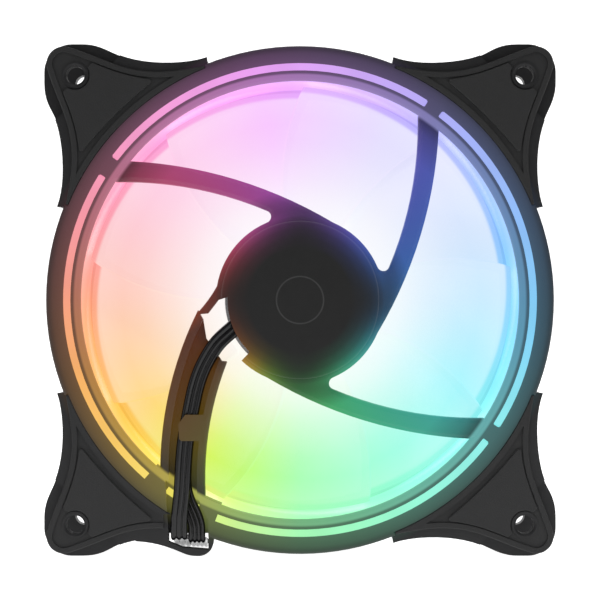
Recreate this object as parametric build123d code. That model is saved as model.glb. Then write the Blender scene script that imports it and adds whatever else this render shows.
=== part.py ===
"""A 120 mm computer case fan with a lit ring: each piece is one STEP file in parts/.

Every piece is drawn in the fan's own axes: X right, Y up, Z along the shaft towards the rear, the
side with the struts. stand() then turns it upright: the shaft lies along the world's Y, the strut
side faces -Y, +Z is up, and the origin is the fan's centre on the shaft. The cables behind the
fan are drawn in world axes, on the surface that the fan stands on. Millimetres and degrees.
"""
import os
from math import atan2, cos, degrees, hypot, radians, sin, sqrt, tan

from build123d import *

# ---- Whole fan -------------------------------------------------------------------------------
SIZE = 120.0  # square outline
HALF = SIZE / 2
DEPTH = 25.0  # between the faces of the corner pads
PAD_Z = DEPTH / 2
HOLE_PITCH = 105.0
HOLE_R = 2.15
FACE_Z = 12.3  # rear and front faces of the hard frame

# ---- Ring ------------------------------------------------------------------------------------
RING_R = 59.35
WALL_IN_R = 57.2  # inside of the outer wall
DUCT_R = 51.25  # air passage
PLATE_Z = 10.6  # underside of the rear plate, where the light guide bears
SLOT_IN_R, SLOT_OUT_R = 53.57, 55.30  # slots that show the light guide
SLOT_ENDS = [(57.2, 142.7), (147.8, 230.6), (247.7, 323.0), (327.3, 413.0)]
SPLIT_Z = -10.4  # rear frame meets front frame
RING_ROUND = 0.8
PLATE_FRONT_Z = 10.4
HALO_IN_R, HALO_SEAT_R = 49.1, 52.6
GUIDE_R, GUIDE_FLANGE_R = 52.45, 56.6
GUIDE_FLANGE_Z, GUIDE_FRONT_Z = 9.4, -9.6
LED_BOARD_R, LED_BOARD_Z = (53.0, 56.8), -2.0
RING_LEDS = 18

# ---- Struts and motor holder -------------------------------------------------------------------
HOLDER_R = 19.7
STRUT_Z = 8.3  # underside of struts and cable channel
STRUT_ANGLES = [0, 90, -90]  # turns of the plain strut about the shaft
# Each edge of a strut is an arc: its centre and radius, for the strut that ends at upper right.
STRUT_OUTER = ((-69.77, 44.69), 102.34)
STRUT_INNER = ((-58.50, 41.24), 86.19)
CHANNEL_OUTER = ((51.76, -39.97), 84.45)
CHANNEL_INNER = ((51.89, -41.79), 74.16)
STRUT_ROUND = 1.0
CHANNEL_FLOOR_Z = 9.3
CHANNEL_WALLS = (2.0, 1.8)
TAB_Z = 11.65  # underside of the tab that holds the cables down
NOTCH_ANGLES = (177.5, 226)  # gap in the holder's rim where the cables come out
NOTCH_R = 16.9
CROOK_ANGLE, CROOK_R = 10.8, 1.5  # rounded crook where a strut leaves the holder
WINDOW_ANGLES = (234.9, 243.9)
CHANNEL_SECTOR = (229.0, 249.0)
HOLDER_FLOOR_Z = 10.3
BOARD_R = 15.4
LABEL_R, LABEL_T = 18.5, 0.2
WEB_CLEAR_Y = -54.9  # the ear's hollow stands clear of the cables below this

# ---- Corner ears and pads ----------------------------------------------------------------------
EAR_Z = (8.3, 11.4)  # rear ear; the front ear mirrors it
EAR_STEP_Z = 9.6  # lower band round the corner, where the pad's skirt goes
CORNER_PLANE = 70.2  # distance from the shaft, along the diagonal, of the step
EAR_CORNER_R = 6.5
# The upper edge of the upper right ear, from its step beside the ring to its flat.
EAR_ROOT = (21.6, 55.0)
EAR_SIDE = [(21.8, 56.8), (32.0, 55.5), (43.0, 57.6), (51.0, HALF)]
BOSS_R, BOSS_Z = 3.1, 12.1
PAD_BASE_Z = 12.3
PAD_ROUND = 0.3
PAD_RIM, PAD_GROOVE = 1.3, 0.45
PAD_INNER_R, PAD_TIP = 58.4, 58.0
PAD_FOOT_ANGLE = 67.7  # the pad's narrow end, on the ring
# The upper edge of the upper right pad, from the ring to its corner.
PAD_SIDE = [
    (22.3, 54.7), (26.6, 53.9), (32.6, 53.3), (40.1, 54.1), (45.0, 55.7), (49.1, 57.3), (53.6, 58.9)
]
PLATEAU_ROUND = 0.18
PLATEAU_HOLE_R = 3.45
GROOVE_KEEP_R = 59.9
PAD_CABLE_X = -31.9
WEB_SET_IN, WEB_WALL = 0.55, 1.4

# ---- Rotor -------------------------------------------------------------------------------------
BLADES = 9
TIP_R = 50.2
HUB_R = 18.9
HUB_Z = (-11.0, 7.7)
SHAFT_R = 1.5
BEARING_GAP = 0.02  # radial running clearance
HUB_WALL, HUB_FLOOR, CAP_T = 1.2, 1.6, 0.9
YOKE_T = 0.8
BUSH_R = 4.0
MAGNET_R, MAGNET_Z = 15.1, (-6.5, 6.5)
SHAFT_END_Z = 10.25
CLIP_Z = (8.8, 9.2)
BLADE_Z = -0.9
# For each section from hub to tip: radius, turn, chord, pitch, camber and thickness.
BLADE_SECTIONS = [
    (17.9, 0, 20.5, 48, 1.4, 1.8),
    (28.5, -3, 26.5, 35, 1.9, 1.5),
    (39.5, -8, 34.0, 27, 2.1, 1.3),
    (51.8, -15, 42.5, 21.5, 2.1, 1.1),
]

# ---- Motor -------------------------------------------------------------------------------------
TUBE_R, TUBE_Z = (3.75, 5.0), (-5.5, 12.1)
SLEEVE_Z = (-5.0, 8.2)
CORE_Z = (-1.5, 3.5)
POLE_R, POLE_HALF_ANGLE = 14.6, 39
INSULATOR_T, WIRE_T = 0.7, 1.8
BOARD_Z = 9.3

# ---- Cables ------------------------------------------------------------------------------------
FAN_RIBBON = (4.0, 1.0)  # width and thickness, four wires
ARGB_RIBBON = (3.9, 1.3)  # three wires
FLOOR = -HALF
TIE = 0.5  # thickness of the ties that the coil lies on
FAN_EXIT = (-24.2, -56.7)  # world X and Z where each ribbon leaves the rear ear
ARGB_EXIT = (-28.3, -55.85)
COIL_CENTRE = (-0.8, 38.7)
COIL_START_Y = 22.0
COIL_PITCH = 4.0
ARGB_COIL = (26.8, 2.0)  # radius where it starts, turns
FAN_COIL = (24.7, 1.5)
PLUG = (10.2, 10.0, 5.6)
PLUG_X = 6.5  # of each plug's middle from the coil's middle
PIN_X = [-3.81, -1.27, 1.27, 3.81]
TIE_SPANS = {1: (18.6, 27.0), -1: (18.6, 25.0)}
BEND_R = 1.0
FREE_Y = (-3.2, 5.0)
CABLE_HEADING = 221  # direction of the ribbons where they leave the holder
FAN_RUN_START, ARGB_RUN_START = (-13.6, -4.9), (-12.1, -3.6)
CHANNEL_ROUTE = [(-19.3, -9.9), (-23.3, -16.2), (-25.5, -24.5), (-27.1, -34.0)]
CHANNEL_RADII = [7.0, 18.0, 40.0, 60.0]


def stand(piece):
    """From the fan's own axes to world axes."""
    return Rot(90, 0, 0) * piece


def polar(radius, angle):
    return (radius * cos(radians(angle)), radius * sin(radians(angle)))


def disc(radius, low, high, centre=(0, 0)):
    return Pos(centre[0], centre[1], low) * extrude(Circle(radius), high - low)


def ring(inner, outer, low, high):
    return Pos(0, 0, low) * extrude(Circle(outer) - Circle(inner), high - low)


def slab(face, low, high):
    return Pos(0, 0, low) * extrude(face, high - low)


def block(x, y, z):
    """A box from its limits along each axis."""
    middle = [(low + high) / 2 for low, high in (x, y, z)]
    return Pos(*middle) * Box(x[1] - x[0], y[1] - y[0], z[1] - z[0])


def face_of(curves):
    """A flat face inside a closed chain of curves."""
    return make_face(Wire([edge for curve in curves for edge in curve.edges()]))


def sector(inner, outer, start, end):
    """A flat piece of ring between two angles."""
    middle = (start + end) / 2
    edges = [
        ThreePointArc(polar(inner, start), polar(inner, middle), polar(inner, end)),
        Line(polar(inner, end), polar(outer, end)),
        ThreePointArc(polar(outer, end), polar(outer, middle), polar(outer, start)),
        Line(polar(outer, start), polar(inner, start)),
    ]
    return face_of(edges)


def at_radius(edge, distance, angle_near):
    """Where an arc, given as its centre and radius, is at a distance from the shaft."""
    (x, y), radius = edge
    far = hypot(x, y)
    along = (distance**2 + far**2 - radius**2) / (2 * far)
    across = sqrt(distance**2 - along**2)
    choices = [
        ((along * x - s * across * y) / far, (along * y + s * across * x) / far) for s in (1, -1)
    ]
    return min(choices, key=lambda p: abs((degrees(atan2(p[1], p[0])) - angle_near + 180) % 360 - 180))


def arm(outer, inner, starts, end_r, angle_near):
    """The flat shape of a swept arm between two edge arcs."""
    def run(edge, start_r):
        return [at_radius(edge, r, angle_near) for r in (start_r, (start_r + end_r) / 2, end_r)]

    a, b = run(outer, starts[0]), run(inner, starts[1])
    tip = polar(end_r, degrees(atan2(a[2][1] + b[2][1], a[2][0] + b[2][0])))
    edges = [
        ThreePointArc(a[0], a[1], a[2]),
        ThreePointArc(a[2], tip, b[2]),
        ThreePointArc(b[2], b[1], b[0]),
        Line(b[0], a[0]),
    ]
    return face_of(edges)


# ---- Hard frame --------------------------------------------------------------------------------
def flip(point):
    """A point mirrored about the upper right corner's diagonal."""
    return (point[1], point[0])


def sunk(points, depth):
    """Points of a side, moved in towards the shaft, square to the line through their neighbours."""
    moved = []
    for i, (x, y) in enumerate(points):
        before, after = points[max(i - 1, 0)], points[min(i + 1, len(points) - 1)]
        run, rise = after[0] - before[0], after[1] - before[1]
        length = hypot(run, rise)
        moved.append((x + depth * rise / length, y - depth * run / length))
    return moved


def ear_face(depth=0.0):
    """The flat outline of the upper right ear, from the ring to the rounded corner."""
    corner = HALF - EAR_CORNER_R
    tip = corner + (EAR_CORNER_R - depth) / sqrt(2)
    side = sunk(EAR_SIDE, depth)
    end = (corner, HALF - depth)
    root = (EAR_ROOT[0], EAR_ROOT[1] - depth)
    edges = [
        Line(root, side[0]),
        Spline(*side, tangents=[(0.85, -0.3), (1, 0)]),
        Line(side[-1], end),
        ThreePointArc(end, (tip, tip), flip(end)),
        Line(flip(end), flip(side[-1])),
        Spline(*[flip(p) for p in reversed(side)], tangents=[(0, -1), (0.3, -0.85)]),
        Line(flip(side[0]), flip(root)),
        ThreePointArc(flip(root), polar(WALL_IN_R + 1 - depth, 45), root),
    ]
    return face_of(edges)


def pad_face(depth=0.0):
    """The flat outline of the upper right pad, set in from the ear at its waist."""
    tip = PAD_TIP - depth / sqrt(2)
    side = sunk(PAD_SIDE, depth)
    foot = polar(PAD_INNER_R - depth, PAD_FOOT_ANGLE)
    edges = [
        Line(foot, side[0]),
        Spline(*side),
        ThreePointArc(side[-1], (tip, tip), flip(side[-1])),
        Spline(*[flip(p) for p in reversed(side)]),
        Line(flip(side[0]), flip(foot)),
        ThreePointArc(flip(foot), polar(PAD_INNER_R - depth, 45), foot),
    ]
    return face_of(edges)


def beyond_plane(distance, low, high):
    """Everything of the upper right quarter past a plane across its diagonal."""
    return Rot(0, 0, 45) * block((distance, SIZE), (-SIZE, SIZE), (low, high))


def ear(face):
    """One rear ear, with its boss, and a lower band where the pad's skirt goes."""
    hole = (HOLE_PITCH / 2, HOLE_PITCH / 2)
    body = slab(face, *EAR_Z) - beyond_plane(CORNER_PLANE, EAR_STEP_Z, EAR_Z[1] + 1)
    body += disc(BOSS_R, EAR_Z[0], BOSS_Z, hole)
    body -= disc(HOLE_R, 0, FACE_Z, hole)
    chamfer_tool = Pos(*hole, BOSS_Z - 0.25) * Cone(HOLE_R, HOLE_R + 0.55, 0.5)
    return body - chamfer_tool


def pad_seats():
    """The steps in the ring's edge where the four pads bear."""
    end = PAD_FOOT_ANGLE + 0.3
    seat = slab(sector(PAD_INNER_R, RING_R + 1, 90 - end, end), EAR_Z[1], FACE_Z + 1)
    return [Rot(0, 0, 90 * quarter) * seat for quarter in range(4)]


def web(low, high):
    """The closed wall between a pair of ears, which leaves the corner open at its bolt."""
    keep = beyond_plane(CORNER_PLANE - 1.5, low - 1, high + 1)
    outer = slab(ear_face(WEB_SET_IN), low, high) - keep
    hollow = slab(ear_face(WEB_SET_IN + WEB_WALL), low, high)
    hollow -= beyond_plane(CORNER_PLANE - 1.5 - WEB_WALL, low - 1, high + 1)
    hollow -= disc(RING_R + 0.8, low, high)
    return outer - hollow


def cable_guard():
    """The lip at the foot of the lower left ear that the cables pass behind."""
    edges = [
        Spline(
            (-38.5, -56.4), (-31.5, -57.6), (-28.0, -58.9), (-24.0, -59.85), tangents=[(1, -0.05), (1, 0)]
        ),
        ThreePointArc((-24.0, -59.85), (-21.3, -58.9), (-20.2, -56.4)),
        Line((-20.2, -56.4), (-20.2, -54.5)),
        Line((-20.2, -54.5), (-36.0, -50.0)),
        Line((-36.0, -50.0), (-38.5, -56.4)),
    ]
    return slab(face_of(edges), *EAR_Z)


def cable_path_cut():
    """The open channel over the ring and the eye through the ear, beside the cable guard."""
    over_ring = [
        (-31.5, -42.0), (-24.2, -45.0), (-23.0, -48.2), (-21.4, -51.4), (-21.4, -55.0), (-30.7, -55.0)
    ]
    eye = [(-30.7, -54.7), (-21.4, -54.7), (-21.4, -58.4), (-27.5, -57.9), (-30.7, -56.6)]
    cut = slab(make_face(Polyline(*over_ring, close=True)), CHANNEL_FLOOR_Z, FACE_Z + 1)
    return cut + slab(make_face(Polyline(*eye, close=True)), EAR_Z[0] - 1, FACE_Z + 1)


def plain_strut(turn):
    shape = arm(STRUT_OUTER, STRUT_INNER, (19.55, 18.6), 52.4, 20)
    return Rot(0, 0, turn) * shape


def rounded_slab(face, edge_count=None):
    """A strut's full thickness of a flat shape, rounded along its rear edges, longest first."""
    solid = slab(face, STRUT_Z, FACE_Z)
    rear = solid.faces().sort_by(Axis.Z)[-1].edges().sort_by(SortBy.LENGTH, reverse=True)
    return fillet(rear[:edge_count], STRUT_ROUND)


def channel_strut():
    """The wide strut, whose left wall runs on up the side of the holder."""
    wide = arm(CHANNEL_OUTER, CHANNEL_INNER, (24.0, 22.5), 52.6, 205)
    joins = at_radius(CHANNEL_OUTER, 24.6, 205)
    edges = [
        ThreePointArc(polar(HOLDER_R - 0.1, 147), (-20.6, 1.3), joins),
        Line(joins, polar(15, 190)),
        Line(polar(15, 190), polar(15, 147)),
        Line(polar(15, 147), polar(HOLDER_R - 0.1, 147)),
    ]
    return rounded_slab(wide, 2) + rounded_slab(face_of(edges), 1)


def holder():
    """The motor holder with its three plain struts, their crooks and rear edges rounded."""
    flat = Circle(HOLDER_R) + [plain_strut(turn) for turn in STRUT_ANGLES]
    joints = [polar(HOLDER_R, turn + CROOK_ANGLE) for turn in STRUT_ANGLES]
    crooks = [v for v in flat.vertices() if min(hypot(v.X - x, v.Y - y) for x, y in joints) < 0.6]
    return rounded_slab(fillet(crooks, CROOK_R))


def channel_cut():
    """The trough in the wide strut, and the gap in the holder where the cables come out."""
    (outer_c, outer_r), (inner_c, inner_r) = CHANNEL_OUTER, CHANNEL_INNER
    left, right = CHANNEL_WALLS
    trough = arm((outer_c, outer_r - left), (inner_c, inner_r + right), (22.0, 23.0), 53.5, 205)
    start, end = NOTCH_ANGLES
    edges = [
        ThreePointArc(polar(NOTCH_R, end), polar(NOTCH_R, (start + end) / 2), polar(NOTCH_R, start)),
        Polyline(polar(NOTCH_R, start), (-19.1, 0.0), (-22.7, -4.7), (-22.0, -9.0), (-18.3, -14.3)),
        Polyline((-18.3, -14.3), polar(20.3, end), polar(NOTCH_R, end)),
    ]
    gap = face_of(edges)
    return slab(trough, CHANNEL_FLOOR_Z, FACE_Z + 1) + slab(gap, STRUT_Z - 1, FACE_Z + 1)


def floor_windows():
    """The light guide shows through the channel's floor on both sides of the cables."""
    return slab(sector(SLOT_IN_R, SLOT_OUT_R, *WINDOW_ANGLES), STRUT_Z - 1, CHANNEL_FLOOR_Z + 1)


def retaining_tab():
    """The flap over the channel that holds the cables down."""
    outline = [(-21.9, -26.8), (-26.8, -26.8), (-28.4, -29.0), (-28.2, -32.9), (-22.6, -32.9)]
    face = make_face(Polyline(*outline, close=True))
    corners = face.vertices().sort_by(Axis.X)[:2]
    return slab(fillet(corners, 0.8), TAB_Z, FACE_Z)


def holder_hollow():
    """The room for the motor board under the holder, the label's recess and the bearing's seat."""
    hollow = disc(BOARD_R + 0.2, STRUT_Z - 1, HOLDER_FLOOR_Z)
    hollow += disc(LABEL_R + 0.1, FACE_Z - LABEL_T, FACE_Z + 1)
    exit_slot = block((21.0, 28.0), (-2.2, 2.2), (CHANNEL_FLOOR_Z - 0.1, TAB_Z))
    hollow += Pos(4.4, 10.8, 0) * Rot(0, 0, CABLE_HEADING) * exit_slot
    return hollow + disc(TUBE_R[1], STRUT_Z, FACE_Z + 1)


def rear_frame():
    body = ring(WALL_IN_R, RING_R, SPLIT_Z, FACE_Z) + ring(DUCT_R, RING_R, PLATE_Z, FACE_Z)
    body = fillet(body.edges().filter_by(GeomType.CIRCLE).group_by(Axis.Z)[-1], RING_ROUND)
    for start, end in SLOT_ENDS:
        slot = fillet(sector(SLOT_IN_R, SLOT_OUT_R, start, end).vertices(), 0.3)
        body -= slab(slot, PLATE_Z - 1, FACE_Z + 1)
    face = ear_face()
    body -= pad_seats()
    body += holder() + channel_strut()
    for quarter in range(4):
        body += Rot(0, 0, 90 * quarter) * (ear(face) + web(-EAR_Z[0], EAR_Z[0]))
    body += cable_guard() + slab(sector(51.0, 58.3, *CHANNEL_SECTOR), STRUT_Z, FACE_Z)
    body -= channel_cut() + cable_path_cut() + floor_windows()
    body -= block((-31.2, -20.2), (-57.0, WEB_CLEAR_Y), (SPLIT_Z, EAR_Z[0]))
    body += retaining_tab()
    return body - holder_hollow()


def front_frame():
    """The intake side: a ring with four ears, drawn with its face towards the front."""
    body = ring(HALO_SEAT_R, RING_R, PLATE_FRONT_Z, FACE_Z)
    body = fillet(body.edges().filter_by(GeomType.CIRCLE).group_by(Axis.Z)[-1], RING_ROUND)
    face = ear_face()
    body -= pad_seats()
    for quarter in range(4):
        body += Rot(0, 0, 90 * quarter) * ear(face)
    body -= disc(RING_R, 0, PLATE_FRONT_Z) + disc(HALO_SEAT_R, 0, FACE_Z + 1)
    return Rot(180, 0, 0) * body


# ---- Light guide, halo ring and their board ------------------------------------------------------
def light_guide():
    """The clear duct wall, with a flange under the rear plate and arcs that fill the slots."""
    body = ring(DUCT_R, GUIDE_R, GUIDE_FRONT_Z, PLATE_Z)
    body += ring(DUCT_R, GUIDE_FLANGE_R, GUIDE_FLANGE_Z, PLATE_Z)
    for start, end in SLOT_ENDS:
        inset = 0.35
        arc = sector(SLOT_IN_R + 0.04, SLOT_OUT_R - 0.04, start + inset, end - inset)
        body += slab(arc, PLATE_Z, FACE_Z - 0.05)
    under = sector(DUCT_R - 1, GUIDE_FLANGE_R + 1, *CHANNEL_SECTOR)
    body -= slab(under, STRUT_Z, FACE_Z)
    body += slab(sector(DUCT_R, GUIDE_FLANGE_R, *CHANNEL_SECTOR), STRUT_Z - 1.1, STRUT_Z)
    for turn in STRUT_ANGLES:
        body -= slab(plain_strut(turn), STRUT_Z, PLATE_Z)
    return body


def halo_ring():
    """The lit lip round the intake, held between the front frame and the light guide."""
    body = ring(HALO_IN_R, HALO_SEAT_R, -FACE_Z, -PLATE_FRONT_Z)
    body = fillet(body.edges().filter_by(GeomType.CIRCLE).group_by(Axis.Z)[0], 0.5)
    return body + ring(DUCT_R, HALO_SEAT_R + 2.0, -PLATE_FRONT_Z, GUIDE_FRONT_Z)


def led_board():
    return ring(LED_BOARD_R[0], LED_BOARD_R[1], LED_BOARD_Z, LED_BOARD_Z + 1.0)


def ring_leds():
    """Small square LEDs round the board, facing the rear."""
    middle = sum(LED_BOARD_R) / 2
    low = LED_BOARD_Z + 1.0
    leds = []
    for i in range(RING_LEDS):
        led = block((middle - 1.6, middle + 1.6), (-1.6, 1.6), (low, low + 1.1))
        leds.append(Rot(0, 0, 360 / RING_LEDS * (i + 0.5)) * led)
    return leds


# ---- Corner pads -------------------------------------------------------------------------------
def plateau_face():
    """The raised middle of a pad: a triangle with an arc beside the ring and a bay round the boss."""
    side = [(33.9, 51.5), (40.3, 52.5), (45.3, 54.1), (48.5, 55.4)]
    edges = [
        Spline(*side),
        Line(side[-1], flip(side[-1])),
        Spline(*[flip(p) for p in reversed(side)]),
        ThreePointArc(flip(side[0]), polar(61.1, 45), side[0]),
    ]
    face = face_of(edges) - Pos(HOLE_PITCH / 2, HOLE_PITCH / 2) * Circle(PLATEAU_HOLE_R)
    return fillet(face.vertices(), 0.55)


def pad():
    """A soft pad: a low base with a rim, a raised plateau, and a skirt round the corner."""
    face = pad_face()
    hole = (HOLE_PITCH / 2, HOLE_PITCH / 2)
    body = slab(face, EAR_Z[1], PAD_BASE_Z)
    skirt = slab(face, EAR_STEP_Z, EAR_Z[1])
    body += skirt & beyond_plane(CORNER_PLANE, EAR_STEP_Z, EAR_Z[1])
    body = fillet(body.faces().sort_by(Axis.Z)[-1].edges(), PAD_ROUND)
    body -= slab(pad_face(PAD_RIM), PAD_BASE_Z - PAD_GROOVE, PAD_Z) - disc(GROOVE_KEEP_R, 0, PAD_Z)
    raised = slab(plateau_face(), PAD_BASE_Z - PAD_GROOVE, PAD_Z)
    body += fillet(raised.faces().sort_by(Axis.Z)[-1].edges(), PLATEAU_ROUND)
    return body - disc(BOSS_R + 0.03, 0, PAD_Z + 1, hole)


def corner_pads():
    """Four pads on each face. The one beside the cables stops short of them."""
    whole = pad()
    pads = {}
    for quarter in range(4):
        turned = Rot(0, 0, 90 * quarter) * whole
        if quarter == 2:
            turned -= block((PAD_CABLE_X, 0), (-HALF, -50.0), (0, DEPTH))
        pads[f"rear_pad_{quarter + 1}"] = turned
        pads[f"front_pad_{quarter + 1}"] = Rot(180, 0, 0) * (Rot(0, 0, 90 * quarter) * whole)
    return pads


# ---- Motor, in the fixed half --------------------------------------------------------------------
def bearing_tube():
    inner, outer = TUBE_R
    flange = ring(outer, outer + 2, HOLDER_FLOOR_Z - 0.6, HOLDER_FLOOR_Z)
    return ring(inner, outer, *TUBE_Z) + flange


def bearing_sleeve():
    body = ring(SHAFT_R + BEARING_GAP, TUBE_R[0], *SLEEVE_Z)
    ends = [e for e in body.edges().filter_by(GeomType.CIRCLE) if e.radius < 2]
    return chamfer(ends, 0.3)


def oil_seal():
    return ring(SHAFT_R + 0.25, TUBE_R[0], TUBE_Z[0], SLEEVE_Z[0])


def thrust_plate():
    return disc(TUBE_R[0], SHAFT_END_Z + 0.05, SHAFT_END_Z + 0.65)


def bearing_cap():
    return disc(TUBE_R[0], TUBE_Z[1] - 0.6, TUBE_Z[1])


def pole_face(arm_width, root_r, shoe):
    """The flat shape of the four-pole core, or of the insulator that covers it."""
    pole = Pos(9, 0) * Rectangle(10, arm_width) + sector(*shoe, -POLE_HALF_ANGLE, POLE_HALF_ANGLE)
    shape = Circle(root_r) + [Rot(0, 0, 90 * i) * pole for i in range(4)]
    return shape - Circle(TUBE_R[1])


def stator_core():
    return slab(pole_face(3.0, 7.2, (13.0, POLE_R)), *CORE_Z)


def insulator(rear):
    """The moulded former on one end of the core, with a lip that keeps the wire in."""
    body = slab(pole_face(3.6, 7.4, (13.0, POLE_R - 0.3)), 0, INSULATOR_T)
    lips = [Rot(0, 0, 90 * i) * slab(sector(13.2, 13.9, -24, 24), 0, WIRE_T + 0.6) for i in range(4)]
    body += lips + [ring(6.4, 7.4, 0, WIRE_T + 0.6)]
    return Pos(0, 0, CORE_Z[1]) * body if rear else Pos(0, 0, CORE_Z[0]) * Rot(180, 0, 0) * body


def windings():
    """Four coils of wire round the poles."""
    low, high = CORE_Z[0] - INSULATOR_T, CORE_Z[1] + INSULATOR_T
    coils = []
    for i in range(4):
        outer = block((7.5, 12.9), (-4.2, 4.2), (low - WIRE_T, high + WIRE_T))
        outer = fillet(outer.edges().filter_by(Axis.X), 1.2)
        outer -= disc(7.45, low - DEPTH, high + DEPTH)
        outer = outer & disc(12.9, low - DEPTH, high + DEPTH)
        hole = block((0, 14), (-1.8, 1.8), (low, high))
        coils.append(Rot(0, 0, 90 * i) * (outer - hole))
    return coils


def motor_board():
    board = ring(TUBE_R[1] + 2.1, BOARD_R, BOARD_Z, HOLDER_FLOOR_Z)
    return board - fan_cable_run()


def driver_chip():
    """The driver chip that also senses the magnet, and two small parts beside it."""
    top = BOARD_Z
    parts = [
        ((9.0, 13.4), (-2.0, 2.0), 1.1),
        ((9.6, 11.2), (3.2, 4.2), 0.7),
        ((11.9, 13.5), (3.2, 4.2), 0.7),
    ]
    return [Rot(0, 0, 62) * block(x, y, (top - height, top)) for x, y, height in parts]


def hub_leds():
    """Small LEDs on the motor board that light the clear rotor."""
    led = block((12.6, 14.8), (-1.1, 1.1), (BOARD_Z - 0.8, BOARD_Z))
    return [Rot(0, 0, angle) * led for angle in (0, 120, 165, 240, 285, 330)]


def hub_label():
    """A plain disc over the bearing, cut away at the cable notch."""
    label = disc(LABEL_R, FACE_Z - LABEL_T, FACE_Z)
    label -= ring(5.45, 5.6, FACE_Z - 0.06, FACE_Z + 1)
    return label - channel_cut()


# ---- Rotor ---------------------------------------------------------------------------------------
def blade_section(radius, turn, chord, pitch, camber, thick):
    """A blade's cross-section on a plane square to the radius, curved to throw air to the rear."""
    along, up = (cos(radians(pitch)), sin(radians(pitch))), (-sin(radians(pitch)), cos(radians(pitch)))

    def at(share, height):
        x = share * chord * along[0] + height * up[0]
        return (x, share * chord * along[1] + height * up[1])

    edge = thick * 0.3
    edges = [
        ThreePointArc(at(-0.5, edge), at(0, thick / 2 - camber), at(0.5, edge)),
        Line(at(0.5, edge), at(0.5, -edge)),
        ThreePointArc(at(0.5, -edge), at(0, -thick / 2 - camber), at(-0.5, -edge)),
        Line(at(-0.5, -edge), at(-0.5, edge)),
    ]
    x, y = polar(radius, turn)
    frame = Plane((x, y, BLADE_Z), x_dir=(*polar(1, turn + 90), 0), z_dir=(*polar(1, turn), 0))
    return frame * face_of(edges)


def blade():
    sections = [blade_section(*row) for row in BLADE_SECTIONS]
    return loft(sections) & disc(TIP_R, HUB_Z[0], HUB_Z[1])


def impeller():
    """The clear cup with its blades, as one moulding."""
    low, high = HUB_Z
    cup = disc(HUB_R, low, high)
    cup = fillet(cup.edges().filter_by(GeomType.CIRCLE).sort_by(Axis.Z)[0], 1.4)
    one = blade()
    for i in range(BLADES):
        cup += Rot(0, 0, 360 / BLADES * i) * one
    cup -= disc(HUB_R - HUB_WALL, low + HUB_FLOOR, high + 1)
    return cup - disc(BUSH_R, low - 1, high)


def hub_cap():
    cap = disc(HUB_R - 1.5, HUB_Z[0] - CAP_T, HUB_Z[0])
    return fillet(cap.edges().filter_by(GeomType.CIRCLE).sort_by(Axis.Z)[0], 0.6)


def rotor_yoke():
    """The steel cup that carries the magnet."""
    outer, floor_z = HUB_R - HUB_WALL, HUB_Z[0] + HUB_FLOOR
    cup = disc(outer, floor_z, HUB_Z[1] - 0.5) - disc(outer - YOKE_T, floor_z + YOKE_T, HUB_Z[1])
    return cup - disc(BUSH_R, floor_z - 1, floor_z + 2)


def rotor_magnet():
    return ring(MAGNET_R, HUB_R - HUB_WALL - YOKE_T, *MAGNET_Z)


def shaft_bush():
    seat = HUB_Z[0] + HUB_FLOOR + YOKE_T
    flange = ring(BUSH_R - 1, BUSH_R + 1.5, seat, seat + 0.9)
    return ring(SHAFT_R, BUSH_R, HUB_Z[0] + 0.3, seat + 2.2) + flange


def shaft():
    body = disc(SHAFT_R, HUB_Z[0] + 0.3, SHAFT_END_Z)
    body = fillet(body.edges().sort_by(Axis.Z)[-1], 0.6)
    return body - ring(SHAFT_R - 0.3, SHAFT_R + 1, *CLIP_Z)


def shaft_clip():
    """The split washer that keeps the rotor from lifting out."""
    washer = ring(SHAFT_R - 0.3, SHAFT_R + 1.7, *CLIP_Z)
    return washer - block((0, 4), (-0.3, 0.3), CLIP_Z)


# ---- Cables, plugs and ties ------------------------------------------------------------------------
def flat_sweep(points, radii, ribbon, z):
    """A ribbon lying flat along straight runs joined by arcs, in the fan's axes."""
    path = FilletPolyline(*[(x, y, z) for x, y in points], radius=radii)
    width, thick = ribbon
    start, heading = path @ 0, path % 0
    plane = Plane(start, x_dir=Vector(0, 0, 1).cross(heading), z_dir=heading)
    return sweep(plane * Rectangle(width, thick), path=path)


def bend_back(x, y, z, ribbon):
    """A quarter turn from down the channel to straight through the ear's eye."""
    width, thick = ribbon
    turn = Rot(0, 90, 0) * ring(BEND_R, BEND_R + thick, -width / 2, width / 2)
    turn = turn & block((-width, width), (-2 * thick - BEND_R, 0), (0, 2 * thick + BEND_R))
    if z > EAR_Z[0]:
        turn += block((-width / 2, width / 2), (-BEND_R - thick, -BEND_R), (EAR_Z[0] - z, 0))
    return Pos(x, y, z) * turn


def fan_cable_run():
    """The four-wire ribbon from the motor board to the eye in the ear."""
    x, thick = FAN_EXIT[0], FAN_RIBBON[1]
    end = FAN_EXIT[1] + thick / 2 + BEND_R
    points = [FAN_RUN_START, *CHANNEL_ROUTE, (-27.6, -45.0), (x, -52.0), (x, end)]
    flat = flat_sweep(points, CHANNEL_RADII + [4.0, 2.6], FAN_RIBBON, CHANNEL_FLOOR_Z + thick / 2)
    return flat + bend_back(x, end, CHANNEL_FLOOR_Z - BEND_R, FAN_RIBBON)


def argb_cable_run():
    """The three-wire ribbon, which lies on the other one."""
    x, thick = ARGB_EXIT[0], ARGB_RIBBON[1]
    low = CHANNEL_FLOOR_Z + FAN_RIBBON[1]
    end = ARGB_EXIT[1] + thick / 2 + BEND_R
    points = [ARGB_RUN_START, *CHANNEL_ROUTE, (-27.5, -44.5), (x, -50.5), (x, end)]
    flat = flat_sweep(points, CHANNEL_RADII + [20.0, 20.0], ARGB_RIBBON, low + thick / 2)
    return flat + bend_back(x, end, low - BEND_R, ARGB_RIBBON)


def report(name, radii, path, strip, ribbon):
    share = strip.volume / (ribbon[0] * ribbon[1] * path.length)
    print(name, "arc radii", radii, "length", round(path.length, 1), "volume share", round(share, 3))


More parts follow.
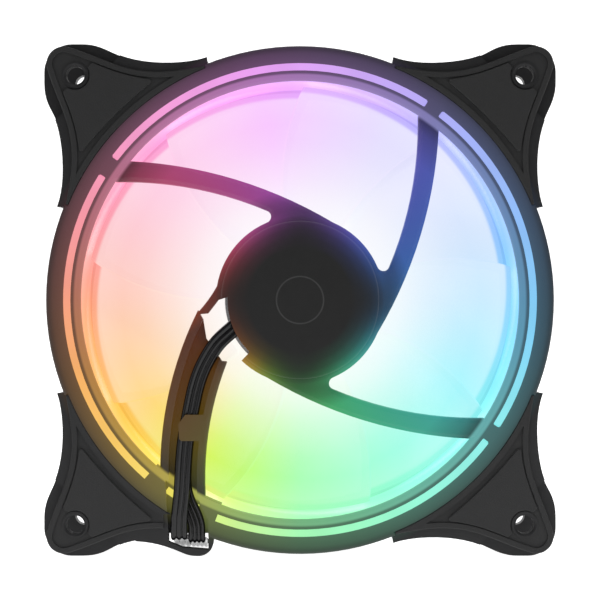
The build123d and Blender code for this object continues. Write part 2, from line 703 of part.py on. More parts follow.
def floor_cable(name, exit_place, ribbon):
    """The free stretch from the ear's eye down to the floor and back to the coil, in world axes."""
    (x, exit_z), (width, thick) = exit_place, ribbon
    level = FLOOR + thick / 2
    points = [
        (x, -EAR_Z[0], exit_z), (x, FREE_Y[0], exit_z), (x, FREE_Y[1], level), (x, COIL_START_Y, level)
    ]
    runs = [(Vector(b) - Vector(a)) for a, b in zip(points, points[1:])]
    radii = []
    for before, after in zip(runs, runs[1:]):
        half_turn = radians(before.get_angle(after)) / 2
        radii.append(0.45 * min(before.length, after.length) / tan(half_turn))
    path = FilletPolyline(*points, radius=radii)
    section = Plane(points[0], x_dir=(1, 0, 0), z_dir=(0, 1, 0)) * Rectangle(width, thick)
    tube = sweep(section, path=path)
    report(name, [round(r, 1) for r in radii], path, tube, ribbon)
    return tube


def coil(name, start_radius, turns, ribbon, plug_side):
    """The put-away length: a lead-in, turns on edge that step inwards, and a tail to the plug."""
    (cx, cy), (width, thick) = COIL_CENTRE, ribbon
    z = FLOOR + TIE + width / 2
    halves = int(2 * turns)
    ends = [(-1) ** (i + 1) * (start_radius - COIL_PITCH * i / 2) for i in range(halves + 1)]
    ends.append(plug_side * PLUG_X)
    pieces = [Line((cx + ends[0], COIL_START_Y, z), (cx + ends[0], cy, z))]
    for i, (a, b) in enumerate(zip(ends, ends[1:])):
        top = cy + (-1) ** i * abs(b - a) / 2
        pieces.append(ThreePointArc((cx + a, cy, z), (cx + (a + b) / 2, top, z), (cx + b, cy, z)))
    path = Wire([edge for piece in pieces for edge in piece.edges()])
    section = Plane(path @ 0, x_dir=(1, 0, 0), z_dir=(0, 1, 0)) * Rectangle(thick, width)
    strip = sweep(section, path=path)
    radii = [round(abs(b - a) / 2, 1) for a, b in zip(ends, ends[1:])]
    report(name, radii, path, strip, ribbon)
    return strip


def plug(side):
    """A flat connector housing: a row of cavities in its far face and two guide ribs on top."""
    long, deep, high = PLUG
    body = block((-long / 2, long / 2), (0, deep), (0, high - 0.8))
    body = fillet(body.edges().filter_by(Axis.Y), 0.3)
    for x in (-2.6, 2.6):
        body += block((x - 0.6, x + 0.6), (1.5, deep), (high - 1.2, high))
    body -= [block((x - 0.6, x + 0.6), (deep - 7.5, deep + 1), (1.8, 3.0)) for x in PIN_X]
    body -= [block((x - 0.45, x + 0.45), (3.0, 5.0), (-1, 1.9)) for x in PIN_X]
    return place_plug(body, side)


def contacts(count, side):
    """The crimped metal sockets inside a housing."""
    tubes = []
    for x in PIN_X[:count]:
        tube = block((x - 0.6, x + 0.6), (3.2, 9.2), (1.8, 3.0))
        tubes.append(tube - block((x - 0.35, x + 0.35), (4.5, 10), (2.05, 2.75)))
    return [place_plug(tube, side) for tube in tubes]


def place_plug(piece, side):
    """A plug lies inside the coil: side -1 points to +Y, side 1 points to -Y."""
    turned = piece if side < 0 else Rot(0, 0, 180) * piece
    return Pos(COIL_CENTRE[0] + side * PLUG_X, COIL_CENTRE[1], FLOOR) * turned


def coil_ties():
    """Two flat ties round the bundle of turns, which the coil lies on."""
    height = FAN_RIBBON[0] + 2 * TIE
    ties = []
    for direction, (near, far) in TIE_SPANS.items():
        tie = block((-1.5, 1.5), (near - TIE, far + TIE), (0, height))
        tie -= block((-2, 2), (near, far), (TIE, height - TIE))
        turned = tie if direction > 0 else Rot(0, 0, 180) * tie
        ties.append(Pos(*COIL_CENTRE, FLOOR) * turned)
    return ties


def as_list(piece):
    return piece if isinstance(piece, list) else [piece]


def build():
    """Every piece by the name of its file, in world axes."""
    fan = {
        "rear_frame": rear_frame(), "front_frame": front_frame(), "light_guide": light_guide(),
        "halo_ring": halo_ring(), "led_board": led_board(), "ring_leds": ring_leds(),
        **corner_pads(),
        "bearing_tube": bearing_tube(), "bearing_sleeve": bearing_sleeve(), "oil_seal": oil_seal(),
        "thrust_plate": thrust_plate(), "bearing_cap": bearing_cap(),
        "stator_core": stator_core(),
        "rear_insulator": insulator(True), "front_insulator": insulator(False),
        "stator_windings": windings(), "motor_board": motor_board(), "driver_chip": driver_chip(),
        "hub_leds": hub_leds(), "hub_label": hub_label(),
        "fan_cable_run": fan_cable_run(), "argb_cable_run": argb_cable_run(),
        "impeller": impeller(), "hub_cap": hub_cap(), "rotor_yoke": rotor_yoke(),
        "rotor_magnet": rotor_magnet(), "shaft_bush": shaft_bush(),
        "shaft": shaft(), "shaft_clip": shaft_clip(),
    }
    standing = {name: [stand(p) for p in as_list(piece)] for name, piece in fan.items()}
    behind = {
        "fan_cable": floor_cable("fan_cable", FAN_EXIT, FAN_RIBBON),
        "argb_cable": floor_cable("argb_cable", ARGB_EXIT, ARGB_RIBBON),
        "fan_cable_coil": coil("fan_cable_coil", *FAN_COIL, FAN_RIBBON, -1),
        "argb_cable_coil": coil("argb_cable_coil", *ARGB_COIL, ARGB_RIBBON, 1),
        "fan_plug": plug(-1), "argb_plug": plug(1),
        "fan_plug_contacts": contacts(4, -1), "argb_plug_contacts": contacts(3, 1),
        "coil_ties": coil_ties(),
    }
    return {**standing, **behind}


def main():
    os.makedirs("parts", exist_ok=True)
    for name, piece in build().items():
        solids = [solid for p in as_list(piece) for solid in p.solids()]
        export_step(solids[0] if len(solids) == 1 else Compound(children=solids), f"parts/{name}.step")


if __name__ == "__main__":
    main()
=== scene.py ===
import math

import bpy
from mathutils import Matrix, Vector


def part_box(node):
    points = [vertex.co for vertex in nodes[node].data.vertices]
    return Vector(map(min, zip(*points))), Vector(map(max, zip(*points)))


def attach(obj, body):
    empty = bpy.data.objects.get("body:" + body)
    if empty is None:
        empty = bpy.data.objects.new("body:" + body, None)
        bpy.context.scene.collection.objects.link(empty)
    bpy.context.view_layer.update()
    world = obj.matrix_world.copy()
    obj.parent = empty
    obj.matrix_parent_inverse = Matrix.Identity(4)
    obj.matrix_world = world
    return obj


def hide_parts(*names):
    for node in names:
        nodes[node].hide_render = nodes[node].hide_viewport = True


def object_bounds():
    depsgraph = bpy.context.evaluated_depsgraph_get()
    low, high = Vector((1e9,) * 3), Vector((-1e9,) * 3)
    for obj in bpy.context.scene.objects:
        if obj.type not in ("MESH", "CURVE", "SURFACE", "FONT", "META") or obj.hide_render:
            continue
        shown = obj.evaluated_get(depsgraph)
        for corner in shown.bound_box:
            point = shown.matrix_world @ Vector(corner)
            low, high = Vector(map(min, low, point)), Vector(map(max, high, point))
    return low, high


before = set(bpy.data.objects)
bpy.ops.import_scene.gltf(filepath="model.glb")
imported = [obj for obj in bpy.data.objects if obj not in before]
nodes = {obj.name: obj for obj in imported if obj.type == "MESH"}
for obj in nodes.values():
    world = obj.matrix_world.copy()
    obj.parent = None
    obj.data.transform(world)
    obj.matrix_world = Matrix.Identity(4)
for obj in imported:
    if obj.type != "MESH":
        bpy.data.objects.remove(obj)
cad_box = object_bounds()
MM = 0.001

# ---- Camera: square on to the strut side, at the height of the shaft ------------------------------
CAMERA_GAP = 0.471  # from the fan's rear face
LENS_MM, SENSOR_MM = 121.2, 36.0

camera_data = bpy.data.cameras.new("camera")
camera_data.lens, camera_data.sensor_width = LENS_MM, SENSOR_MM
camera_data.clip_start = 0.01
camera = bpy.data.objects.new("camera", camera_data)
bpy.context.scene.collection.objects.link(camera)
camera.location = (0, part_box("rear_pad_1")[0].y - CAMERA_GAP, 0)
camera.rotation_euler = (math.radians(90), 0, 0)
bpy.context.scene.camera = camera


# ---- Colour --------------------------------------------------------------------------------------
def linear(rgb):
    """A display colour, 0 to 255, as linear light."""
    return tuple((c / 255 / 12.92) if c <= 10 else ((c / 255 + 0.055) / 1.055) ** 2.4 for c in rgb)


RING_LEDS = 18
# The light's colour round the ring: degrees from +X, turning towards +Z, and the colour there.
RING_COLOURS = [
    (0, (125, 206, 252)), (20, (140, 192, 255)), (45, (165, 178, 255)), (65, (195, 170, 254)),
    (80, (216, 168, 253)), (100, (240, 160, 250)), (125, (252, 158, 222)), (145, (254, 152, 188)),
    (160, (254, 150, 162)), (180, (253, 158, 122)), (200, (253, 178, 84)), (220, (254, 205, 80)),
    (235, (250, 232, 96)), (250, (215, 250, 130)), (270, (160, 254, 178)), (285, (150, 254, 196)),
    (300, (145, 254, 218)), (330, (135, 240, 245)), (350, (125, 215, 253)), (360, (125, 206, 252)),
]
# The paler colour of the light painted on the blades as glow, two thirds of the way out.
BLADE_GLOW_COLOURS = [
    (0, (196, 232, 254)), (20, (212, 230, 253)), (45, (227, 229, 254)), (62, (229, 223, 254)),
    (80, (236, 210, 254)), (100, (249, 198, 255)), (125, (254, 208, 240)), (145, (254, 206, 224)),
    (160, (255, 204, 208)), (180, (254, 204, 184)), (200, (254, 208, 150)), (215, (254, 216, 116)),
    (228, (246, 232, 92)), (240, (214, 250, 84)), (255, (188, 254, 124)), (270, (163, 254, 176)),
    (300, (158, 254, 224)), (330, (165, 248, 254)), (345, (183, 240, 254)), (360, (196, 232, 254)),
]


# ---- Node trees ------------------------------------------------------------------------------------
class Shader:
    """A material's node tree, with short names for what the materials below share."""

    def __init__(self, name):
        self.material = bpy.data.materials.new(name)
        self.material.use_nodes = True
        self.tree = self.material.node_tree
        self.tree.nodes.clear()
        self.output = self.add("ShaderNodeOutputMaterial")

    def add(self, kind, inputs=None, **settings):
        node = self.tree.nodes.new(kind)
        for key, value in settings.items():
            setattr(node, key, value)
        for key, value in (inputs or {}).items():
            if isinstance(value, bpy.types.NodeSocket):
                self.tree.links.new(value, node.inputs[key])
            else:
                node.inputs[key].default_value = value
        return node

    def math(self, operation, a, b=0.0, c=0.0):
        return self.add("ShaderNodeMath", {0: a, 1: b, 2: c}, operation=operation).outputs[0]

    def place(self):
        """The point in the object's own axes, in metres."""
        return self.add("ShaderNodeTexCoord").outputs["Object"]

    def noise(self, size, detail=3.0, rough=0.6, where=None):
        """Soft noise whose features are about size metres across."""
        inputs = {"Vector": where or self.place(), "Scale": 1 / size, "Detail": detail, "Roughness": rough}
        return self.add("ShaderNodeTexNoise", inputs).outputs["Fac"]

    def ramp(self, value, stops):
        """Stops are (position, colour or value)."""
        node = self.add("ShaderNodeValToRGB", {"Fac": value})
        elements = node.color_ramp.elements
        while len(elements) < len(stops):
            elements.new(0.5)
        for element, (position, colour) in zip(elements, stops):
            element.position = position
            element.color = (*colour, 1) if isinstance(colour, tuple) else (colour, colour, colour, 1)
        return node.outputs["Color"]

    def mix(self, share, a, b, blend="MIX"):
        node = self.add("ShaderNodeMix", data_type="RGBA", blend_type=blend)
        for socket, value in zip((node.inputs["Factor"], node.inputs[6], node.inputs[7]), (share, a, b)):
            if isinstance(value, bpy.types.NodeSocket):
                self.tree.links.new(value, socket)
            elif isinstance(value, tuple):
                socket.default_value = (*value[:3], 1)
            else:
                socket.default_value = value
        return node.outputs[2]

    def spread(self, value, low, high, start=0.0, end=1.0):
        """A value from start to end, such as noise from 0 to 1, spread between low and high."""
        return self.add("ShaderNodeMapRange", {0: value, 1: start, 2: end, 3: low, 4: high}).outputs[0]

    def bump(self, height, depth, strength=1.0):
        inputs = {"Height": height, "Distance": depth, "Strength": strength}
        return self.add("ShaderNodeBump", inputs).outputs["Normal"]

    def around(self):
        """The turn about the shaft from 0 to 1, and the distance from it in millimetres."""
        where = self.add("ShaderNodeNewGeometry").outputs["Position"]
        axes = self.add("ShaderNodeSeparateXYZ", {0: where}).outputs
        turn = self.math("DIVIDE", self.math("ARCTAN2", axes["Z"], axes["X"]), 2 * math.pi)
        flat = self.add("ShaderNodeCombineXYZ", {"X": axes["X"], "Z": axes["Z"]}).outputs[0]
        length = self.add("ShaderNodeVectorMath", {0: flat}, operation="LENGTH").outputs["Value"]
        return self.math("FRACT", turn), self.math("DIVIDE", length, MM)

    def round_colour(self, turn, colours):
        return self.ramp(turn, [(angle / 360, linear(rgb)) for angle, rgb in colours])

    def by_radius(self, radius, stops):
        """A value that follows the distance from the shaft; stops are (millimetres, value)."""
        share = self.math("DIVIDE", radius, 64.0)
        return self.ramp(share, [(mm / 64, value) for mm, value in stops])

    def deepened(self, colour):
        """The colour times itself, as light has that has met more than one tinted surface."""
        return self.mix(1.0, colour, colour, "MULTIPLY")

    def hub_glow(self, turn, radius):
        """Painted light: glow in the ring's colours where light spills over the rim of the motor holder,
        with painted shade where a strut shades it.
        """
        wave = self.math("COSINE", self.math("MULTIPLY", turn, 4 * 2 * math.pi))
        wave = self.math("MULTIPLY_ADD", wave, -0.4, 0.6)
        share = self.by_radius(radius, [
            (0, 0.0), (12.0, 0.0), (14.5, 0.03), (16.5, 0.09), (18.0, 0.20), (19.6, 0.34), (21.0, 0.16),
            (23, 0.0)])
        deep = self.deepened(self.round_colour(turn, RING_COLOURS))
        return self.mix(self.math("MULTIPLY", share, wave), (0, 0, 0), deep)

    def surface(self, **inputs):
        named = {key.replace("_", " "): value for key, value in inputs.items()}
        for key, value in named.items():
            if isinstance(value, tuple) and len(value) == 3:
                named[key] = (*value, 1)
        shader = self.add("ShaderNodeBsdfPrincipled", named)
        self.tree.links.new(shader.outputs[0], self.output.inputs["Surface"])
        return self.material


def dress(material, *names):
    for name in names:
        mesh = nodes[name].data
        mesh.materials.clear()
        mesh.materials.append(material)


# ---- Materials -------------------------------------------------------------------------------------
def frame_plastic():
    """Black moulded plastic with a spark-eroded grain, with the ring's coloured light painted on as glow
    where the ring lights it.
    """
    s = Shader("frame_plastic")
    turn, radius = s.around()
    colour = s.round_colour(turn, RING_COLOURS)
    # Painted light: how strongly the ring's light is painted on as glow, near the ring and along the
    # struts, by distance from the shaft.
    ring_share = s.by_radius(radius, [
        (0, 0.0), (50.6, 0.0), (51.2, 0.42), (52.6, 0.42), (53.0, 0.15), (55.6, 0.13), (57.6, 0.09),
        (58.6, 0.045), (59.5, 0.02), (61.0, 0.0)])
    strut_share = s.by_radius(radius, [
        (0, 0.0), (19.2, 0.0), (21.5, 0.10), (26, 0.34), (42, 0.38), (48, 0.22), (50.6, 0.09),
        (51.2, 0.0)])
    # The wide strut, whose walls and cables stop most of the light: painted shade, the painted glow cut
    # back there.
    wide = s.ramp(turn, [(0, 1.0), (0.50, 1.0), (0.545, 0.22), (0.685, 0.22), (0.705, 1.0), (1, 1.0)])
    strut_share = s.math("MULTIPLY", strut_share, wide)
    ring_light = s.mix(ring_share, (0, 0, 0), colour)
    strut_light = s.mix(strut_share, (0, 0, 0), s.deepened(colour))
    glow = s.mix(1.0, ring_light, strut_light, "ADD")
    glow = s.mix(1.0, glow, s.hub_glow(turn, radius), "ADD")
    grain, drift = s.noise(0.00022, 2.0), s.noise(0.006)
    return s.surface(
        Base_Color=s.mix(drift, (0.014, 0.014, 0.015), (0.020, 0.020, 0.021)),
        Roughness=s.spread(grain, 0.42, 0.62), Normal=s.bump(grain, 0.00006, 0.6),
        Specular_IOR_Level=0.35, Emission_Color=glow, Emission_Strength=1.0)


def pad_rubber():
    s = Shader("pad_rubber")
    grain, fine = s.noise(0.00030, 3.0, 0.7), s.noise(0.00009, 2.0)
    height = s.math("ADD", grain, s.math("MULTIPLY", fine, 0.5))
    return s.surface(
        Base_Color=s.mix(grain, (0.016, 0.016, 0.016), (0.030, 0.030, 0.031)),
        Roughness=s.spread(grain, 0.62, 0.82), Normal=s.bump(height, 0.00009, 0.8),
        Specular_IOR_Level=0.4, Sheen_Weight=0.05, Sheen_Roughness=0.4)


def matte_film():
    """The plain disc on the motor holder: a matte film, with painted highlights that make it paler at its
    groove and its outer edge, and the holder's spilled light painted on as glow.
    """
    s = Shader("matte_film")
    turn, radius = s.around()
    grain = s.noise(0.00018, 2.0)
    # Painted highlight: paler lines at the groove and the outer edge, which also raise the bump there.
    rim = s.by_radius(radius, [
        (0, 0.0), (5.38, 0.0), (5.47, 0.6), (5.56, 0.0), (18.2, 0.0), (18.45, 0.4)])
    film = s.mix(s.noise(0.004), (0.010, 0.010, 0.010), (0.014, 0.014, 0.014))
    height = s.math("ADD", grain, rim)
    return s.surface(
        Base_Color=s.mix(rim, film, (0.16, 0.16, 0.16)), Roughness=s.spread(grain, 0.50, 0.66),
        Normal=s.bump(height, 0.00003, 0.5), Specular_IOR_Level=0.35,
        Emission_Color=s.hub_glow(turn, radius), Emission_Strength=1.0)


def lit_guide():
    """Milky plastic lit from inside, brightest in front of each LED."""
    s = Shader("lit_guide")
    turn, _ = s.around()
    colour = s.round_colour(turn, RING_COLOURS)
    beads = s.math("MULTIPLY", turn, 2 * math.pi * RING_LEDS)
    beads = s.spread(s.math("ADD", s.math("SINE", beads), 1.0), 0.86, 0.90)
    cloud = s.spread(s.noise(0.004), 0.97, 1.03)
    return s.surface(
        Base_Color=(0.06, 0.06, 0.065), Specular_IOR_Level=0.3, Roughness=0.35,
        Normal=s.bump(s.noise(0.0004), 0.00003, 0.4), Emission_Color=colour,
        Emission_Strength=s.math("MULTIPLY", beads, cloud))


def lit_rotor():
    """Clear frosted plastic whose light is painted on as glow: the ring's colours outside and the motor's
    white inside.
    """
    s = Shader("lit_rotor")
    turn, radius = s.around()
    pale = s.round_colour(turn, BLADE_GLOW_COLOURS)
    white = s.by_radius(radius, [
        (0, 0.92), (19, 0.88), (24, 0.72), (30, 0.42), (38, 0.10), (43, 0.0), (48, 0.08)])
    tips = s.by_radius(radius, [(0, 0.0), (48.7, 0.0), (49.3, 0.85), (52, 1.0)])
    colour = s.mix(tips, s.mix(white, pale, (1.0, 1.0, 1.0)), s.round_colour(turn, RING_COLOURS))
    # Painted light: the glow is painted stronger on faces turned to the struts' side, which look lit
    # evenly, and weaker on the intake side, where the blades' shapes and the hub can be made out.
    normal = s.add("ShaderNodeNewGeometry").outputs["Normal"]
    facing = s.spread(s.add("ShaderNodeSeparateXYZ", {0: normal}).outputs["Y"], 0.0, 1.0, -1.0)
    power = s.ramp(facing, [(0.0, 0.95), (0.35, 0.88), (0.60, 0.62), (0.80, 0.50), (1.0, 0.42)])
    return s.surface(
        Base_Color=(0.06, 0.06, 0.065), Specular_IOR_Level=0.4, Alpha=0.86,
        Roughness=s.spread(s.noise(0.003), 0.16, 0.26),
        Normal=s.bump(s.noise(0.0005), 0.00002, 0.3), Emission_Color=colour, Emission_Strength=power)


def plain(name, dark, light, rough, size=0.0008, depth=0.00002, metal=0.0, **more):
    """A surface whose colour and roughness drift a little, with a fine tooth."""
    s = Shader(name)
    grain = s.noise(size)
    return s.surface(
        Base_Color=s.mix(grain, dark, light), Roughness=s.spread(grain, *rough), Metallic=metal,
        Normal=s.bump(grain, depth, 0.5), **more)


def banded(name, dark, light, rough, pitch, axis, metal):
    """Fine parallel lines, as on laminations, turned metal or layers of wire."""
    s = Shader(name)
    inputs = {"Vector": s.place(), "Scale": 1 / (pitch * 2 * math.pi), "Distortion": 0.3}
    lines = s.add("ShaderNodeTexWave", inputs, bands_direction=axis).outputs["Fac"]
    return s.surface(
        Base_Color=s.mix(lines, dark, light), Roughness=s.spread(lines, *rough), Metallic=metal,
        Normal=s.bump(lines, pitch * 0.3, 0.6))


def wire_skin():
    """Glossy black insulation with faint lengthwise scuffs."""
    s = Shader("wire_skin")
    scuff = s.noise(0.0012, 4.0, 0.7)
    return s.surface(
        Base_Color=s.mix(scuff, (0.004, 0.004, 0.0045), (0.010, 0.010, 0.011)),
        Roughness=s.spread(scuff, 0.12, 0.26), Normal=s.bump(scuff, 0.00002, 0.3), Specular_IOR_Level=0.3,
        Coat_Weight=0.2, Coat_Roughness=0.06)


WIRE = wire_skin()
dress(frame_plastic(), "rear_frame", "front_frame")
dress(pad_rubber(), *[f"{side}_pad_{i}" for side in ("rear", "front") for i in (1, 2, 3, 4)])
dress(matte_film(), "hub_label")
dress(lit_guide(), "light_guide", "halo_ring")
dress(lit_rotor(), "impeller", "hub_cap")
dress(plain("solder_mask_white", (0.72, 0.72, 0.70), (0.82, 0.82, 0.80), (0.35, 0.5)), "led_board")
dress(plain("solder_mask_green", (0.02, 0.12, 0.06), (0.04, 0.19, 0.10), (0.3, 0.45)), "motor_board")
dress(plain("led_package", (0.75, 0.72, 0.60), (0.9, 0.88, 0.78), (0.2, 0.3),
            Emission_Color=(1.0, 0.97, 0.9), Emission_Strength=0.8), "ring_leds", "hub_leds")
dress(plain("epoxy", (0.015, 0.015, 0.016), (0.03, 0.03, 0.03), (0.5, 0.65)), "driver_chip")
dress(plain("dark_nylon", (0.02, 0.02, 0.02), (0.045, 0.045, 0.045), (0.45, 0.6)),
      "bearing_cap", "oil_seal", "thrust_plate")
dress(plain("brass", (0.62, 0.44, 0.18), (0.80, 0.62, 0.30), (0.22, 0.36), metal=1.0),
      "bearing_tube", "shaft_bush")
dress(plain("sintered_bronze", (0.42, 0.24, 0.11), (0.60, 0.38, 0.20), (0.4, 0.6), 0.0003, 0.00004, 1.0),
      "bearing_sleeve")
dress(plain("ground_steel", (0.50, 0.50, 0.51), (0.66, 0.66, 0.67), (0.18, 0.3), metal=1.0),
      "shaft", "rotor_yoke", "fan_plug_contacts", "argb_plug_contacts")
dress(banded("laminations", (0.20, 0.20, 0.21), (0.40, 0.40, 0.41), (0.35, 0.5), 0.0005, "Y", 1.0),
      "stator_core")
dress(banded("wound_wire", (0.36, 0.13, 0.05), (0.78, 0.36, 0.17), (0.22, 0.4), 0.00025, "Y", 0.9),
      "stator_windings")
dress(plain("bonded_magnet", (0.05, 0.045, 0.045), (0.09, 0.085, 0.085), (0.6, 0.75)), "rotor_magnet")
dress(plain("natural_nylon", (0.70, 0.68, 0.60), (0.82, 0.80, 0.73), (0.4, 0.55)),
      "rear_insulator", "front_insulator", "shaft_clip")
dress(plain("connector_nylon", (0.014, 0.014, 0.015), (0.03, 0.03, 0.032), (0.38, 0.55), 0.0003, 0.00003),
      "fan_plug", "argb_plug")
for node in nodes.values():
    for polygon in node.data.polygons:
        polygon.use_smooth = True

# ---- Ribbon cables ---------------------------------------------------------------------------------
FLOOR = cad_box[0].z / MM
FAN_RIBBON, ARGB_RIBBON = (4.0, 4), (3.9, 3)  # width in mm and number of wires
TIE = 0.5  # thickness of the ties that the coil lies on
EAR_Y = -8.3  # inner face of the rear ear
FAN_EXIT, ARGB_EXIT = (-24.2, -56.7), (-28.3, -55.85)
FREE_Y = (-3.2, 5.0)
FLAT_END_Y, COIL_START_Y = 13.0, 22.0
COIL_CENTRE = (-0.8, 38.7)
COIL_PITCH = 4.0
FAN_COIL, ARGB_COIL = (24.7, 1.5), (26.8, 2.0)  # radius where it starts, turns
PLUG_X = 6.5
COIL_LEAD_IN = 12.0  # straight run into the coil
STEPS = 9  # points in each half turn


def thickness(ribbon):
    width, wires = ribbon
    return width / wires


def route(exit_place, ribbon, start_radius, turns, plug_side):
    """A ribbon from the ear to its plug, in mm: down to the floor, back, and round the coil."""
    (x, exit_z), (cx, cy) = exit_place, COIL_CENTRE
    level, edge_on = FLOOR + thickness(ribbon) / 2, FLOOR + TIE + ribbon[0] / 2
    first = cx - start_radius
    points = [
        (x, EAR_Y, exit_z), (x, FREE_Y[0], exit_z), (x, FREE_Y[1], level), (x, FLAT_END_Y, level),
        (first, COIL_START_Y, edge_on), (first, COIL_START_Y + COIL_LEAD_IN, edge_on),
    ]
    ends = [(-1) ** (i + 1) * (start_radius - COIL_PITCH * i / 2) for i in range(int(2 * turns) + 1)]
    ends.append(plug_side * PLUG_X)
    for i, (a, b) in enumerate(zip(ends, ends[1:])):
        middle, radius = (a + b) / 2, (a - b) / 2
        steps = STEPS if i < len(ends) - 2 else STEPS // 2
        for step in range(steps):
            angle = math.pi * step / steps
            height = abs(radius) * math.sin(angle) * (-1) ** i
            points.append((cx + middle + radius * math.cos(angle), cy + height, edge_on))
    points.append((cx + ends[-1], cy + 1.5 * (-1) ** len(ends), edge_on))
    points.append((cx + ends[-1], cy, edge_on))
    return points


def nurbs_line(points):
    """Points read from a NURBS spline through the route's control points, in metres."""
    curve = bpy.data.curves.new("route", "CURVE")
    curve.dimensions = "3D"
    spline = curve.splines.new("NURBS")
    spline.points.add(len(points) - 1)
    for knot, (x, y, z) in zip(spline.points, points):
        knot.co = (x * MM, y * MM, z * MM, 1)
    spline.order_u = 3
    spline.use_endpoint_u = True
    spline.resolution_u = 6
    holder = bpy.data.objects.new("route", curve)
    bpy.context.scene.collection.objects.link(holder)
    bpy.context.view_layer.update()
    mesh = bpy.data.meshes.new_from_object(holder)
    line = [v.co.copy() for v in mesh.vertices]
    bpy.data.objects.remove(holder)
    bpy.data.meshes.remove(mesh)
    return line


def ribbon_outline(ribbon, cuts=6):
    """Round wires side by side, joined by thin webs: a closed outline across the ribbon, in mm."""
    width, wires = ribbon
    r, web = width / wires / 2, math.radians(24)
    top = []
    for k in range(wires):
        start = math.pi if k == 0 else math.pi - web
        end = 0.0 if k == wires - 1 else web
        centre = -width / 2 + r * (2 * k + 1)
        for j in range(cuts + 1):
            angle = start + (end - start) * j / cuts
            top.append((centre + r * math.cos(angle), r * math.sin(angle)))
    return top + [(u, -v) for u, v in reversed(top[1:-1])]


def ribbon_mesh(name, line, ribbon, across, turn_at):
    """A ribbon along a line. across is its width's direction at the start; turn_at(point) twists it."""
    outline = ribbon_outline(ribbon)
    verts, faces = [], []
    across = Vector(across)
    for i, point in enumerate(line):
        along = (line[min(i + 1, len(line) - 1)] - line[max(i - 1, 0)]).normalized()
        across = (across - along * across.dot(along)).normalized()
        twisted = Matrix.Rotation(turn_at(point), 3, along) @ across
        up = along.cross(twisted)
        verts += [point + (twisted * u + up * v) * MM for u, v in outline]
    count = len(outline)
    for i in range(len(line) - 1):
        for j in range(count):
            a, b = i * count + j, i * count + (j + 1) % count
            faces.append((a, b, b + count, a + count))
    faces.append(tuple(range(count)))
    faces.append(tuple(range(len(verts) - 1, len(verts) - 1 - count, -1)))
    return mesh_piece(name, verts, faces)


def mesh_piece(name, verts, faces, material=WIRE, smooth=True):
    mesh = bpy.data.meshes.new(name)
    mesh.from_pydata([tuple(v) for v in verts], [], faces)
    mesh.materials.append(material)
    for polygon in mesh.polygons:
        polygon.use_smooth = smooth and len(polygon.vertices) == 4
    mesh.update()
    piece = bpy.data.objects.new(name, mesh)
    bpy.context.scene.collection.objects.link(piece)
    return piece


def onto_edge(ribbon):
    """The twist from flat on the floor to standing on edge, as the ribbon's middle rises."""
    flat, edge_on = thickness(ribbon) / 2, TIE + ribbon[0] / 2

    def turn_at(point):
        if point.y < FREE_Y[1] * MM:
            return 0.0
        share = (point.z / MM - FLOOR - flat) / (edge_on - flat)
        return math.pi / 2 * min(max(share, 0.0), 1.0) ** 1.6
    return turn_at


CORDS = {
    "fan": (FAN_EXIT, FAN_RIBBON, FAN_COIL, -1, 0.290),
    "argb": (ARGB_EXIT, ARGB_RIBBON, ARGB_COIL, 1, 0.370),
}
for name, (exit_place, ribbon, coil, side, length) in CORDS.items():
    line = nurbs_line(route(exit_place, ribbon, *coil, side))
    cord = ribbon_mesh(f"{name}_ribbon", line, ribbon, (1, 0, 0), onto_edge(ribbon))
    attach(cord, "frame")
    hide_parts(f"{name}_cable", f"{name}_cable_coil")

# The same ribbons inside the channel of the wide strut: X and Z, in mm, from the motor to the ear.
SHARED_RUN = [
    (-19.3, -9.9), (-21.4, -13.1), (-23.2, -16.6), (-24.5, -20.5), (-25.4, -25.0), (-26.3, -29.5),
    (-27.0, -34.0), (-27.4, -39.5),
]
FAN_RUN = [(-13.6, -4.9), (-16.5, -7.4), *SHARED_RUN, (-27.5, -43.8), (-26.6, -47.0), (-25.0, -50.2),
           (-24.2, -52.6), (-24.2, -54.6)]
ARGB_RUN = [(-12.1, -3.6), (-15.8, -6.9), *SHARED_RUN, (-27.6, -44.5), (-28.0, -48.0), (-28.3, -51.0),
            (-28.3, -53.6)]
RUNS = {
    "fan": (FAN_RUN, FAN_EXIT, FAN_RIBBON, -9.8),
    "argb": (ARGB_RUN, ARGB_EXIT, ARGB_RIBBON, -10.95),
}
for name, (run, exit_place, ribbon, depth) in RUNS.items():
    points = [(x, depth, z) for x, z in run]
    points += [(exit_place[0], depth, exit_place[1]), (exit_place[0], EAR_Y, exit_place[1])]
    line = nurbs_line(points)
    heading = (line[1] - line[0]).normalized()
    across = heading.cross(Vector((0, 1, 0)))
    piece = ribbon_mesh(f"{name}_channel_ribbon", line, ribbon, across, lambda point: 0.0)
    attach(piece, "frame")
    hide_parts(f"{name}_cable_run")


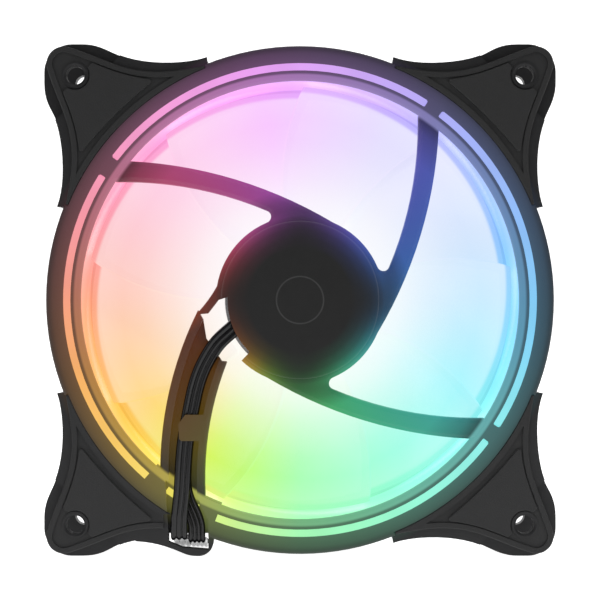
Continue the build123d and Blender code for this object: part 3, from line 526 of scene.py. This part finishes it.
# ---- Ties round the coil ---------------------------------------------------------------------------
def band(near, far, height, width, thick, side):
    """A soft band round the coil's turns: a rounded loop across them, with rolled edges."""
    bend, cuts = 0.9, 5
    loop = []
    corners = [(far - bend, height - bend, 0), (near + bend, height - bend, 90),
               (near + bend, bend, 180), (far - bend, bend, 270)]
    for u, v, start in corners:
        for j in range(cuts + 1):
            angle = math.radians(start + 90 * j / cuts)
            loop.append((u, v, math.cos(angle), math.sin(angle)))
    edge = [(-width / 2, 0), (-width / 2 + 0.15, 0.15), (width / 2 - 0.15, 0.15), (width / 2, 0),
            (width / 2, -thick + 0.15), (width / 2 - 0.15, -thick), (-width / 2 + 0.15, -thick),
            (-width / 2, -thick + 0.15)]
    verts, faces = [], []
    for u, v, du, dv in loop:
        for across, out in edge:
            reach = bend + out - 0.15
            verts.append(Vector((side * across, side * (u + du * reach), v + dv * reach)))
    count, rings = len(edge), len(loop)
    for i in range(rings):
        for j in range(count):
            a, b = i * count + j, i * count + (j + 1) % count
            c, d = ((i + 1) % rings) * count + (j + 1) % count, ((i + 1) % rings) * count + j
            faces.append((a, b, c, d))
    return verts, faces


def tie_material():
    """Black hook-and-loop fabric: short loops over a woven back."""
    s = Shader("tie_fabric")
    loops = s.noise(0.00035, 4.0, 0.75)
    return s.surface(
        Base_Color=s.mix(loops, (0.010, 0.010, 0.011), (0.05, 0.05, 0.055)), Roughness=0.9,
        Normal=s.bump(loops, 0.0002, 0.9), Sheen_Weight=0.4, Sheen_Roughness=0.5)


TIE_SPANS = {1: (18.6, 27.0), -1: (18.6, 25.0)}
verts, faces = [], []
for side, (near, far) in TIE_SPANS.items():
    band_verts, band_faces = band(near - TIE, far + TIE, FAN_RIBBON[0] + 2 * TIE, 3.0, TIE, side)
    start = len(verts)
    verts += [(v + Vector((*COIL_CENTRE, FLOOR))) * MM for v in band_verts]
    faces += [tuple(i + start for i in f) for f in band_faces]
ties = mesh_piece("coil_tie_bands", verts, faces, tie_material())
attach(ties, "frame")
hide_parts("coil_ties")


# ---- Stage and lights ------------------------------------------------------------------------------
def stage_material():
    """White behind and under the fan, and duller in front, so that the black parts stay black."""
    s = Shader("stage_white")
    ahead = s.add("ShaderNodeSeparateXYZ", {0: s.place()}).outputs["Y"]
    return s.surface(
        Base_Color=s.mix(s.noise(0.05), (0.68, 0.68, 0.68), (0.70, 0.70, 0.70)), Roughness=0.9,
        Emission_Color=(1.0, 1.0, 1.0), Emission_Strength=s.spread(ahead, 0.05, 1.0, -0.26, -0.09))


def backdrop():
    """A floor that sweeps up into a wall, wide enough to fill the view."""
    half, front, bend_y, bend_r, top = 3.0, -2.0, 1.6, 0.5, 3.0
    profile = [(front, 0.0)]
    profile += [(bend_y + bend_r * math.sin(a), bend_r * (1 - math.cos(a)))
                for a in [math.pi / 2 * i / 12 for i in range(13)]]
    profile.append((bend_y + bend_r, top))
    low = cad_box[0].z
    verts = [(x, y, z + low) for y, z in profile for x in (-half, half)]
    faces = [(2 * i, 2 * i + 1, 2 * i + 3, 2 * i + 2) for i in range(len(profile) - 1)]
    return mesh_piece("backdrop", verts, faces, stage_material())


backdrop()


def area_light(name, place, size, power, colour=(1, 1, 1)):
    """A soft square light that faces the fan."""
    data = bpy.data.lights.new(name, "AREA")
    data.size, data.energy, data.color = size, power, colour
    light = bpy.data.objects.new(name, data)
    bpy.context.scene.collection.objects.link(light)
    light.location = place
    light.rotation_euler = (-Vector(place)).to_track_quat("-Z", "Y").to_euler()
    return light


area_light("top_light", (0.0, -0.45, 0.95), 0.9, 3.2)
area_light("left_light", (-0.95, -0.70, 0.25), 0.8, 1.4)
area_light("right_light", (0.95, -0.60, 0.35), 0.8, 1.4)
area_light("back_light", (0.2, 0.9, 0.9), 0.9, 5.0)

world = bpy.data.worlds.new("studio")
world.use_nodes = True
world.node_tree.nodes["Background"].inputs["Color"].default_value = (1, 1, 1, 1)
world.node_tree.nodes["Background"].inputs["Strength"].default_value = 0.11
bpy.context.scene.world = world
bpy.context.scene.view_settings.view_transform = "Standard"
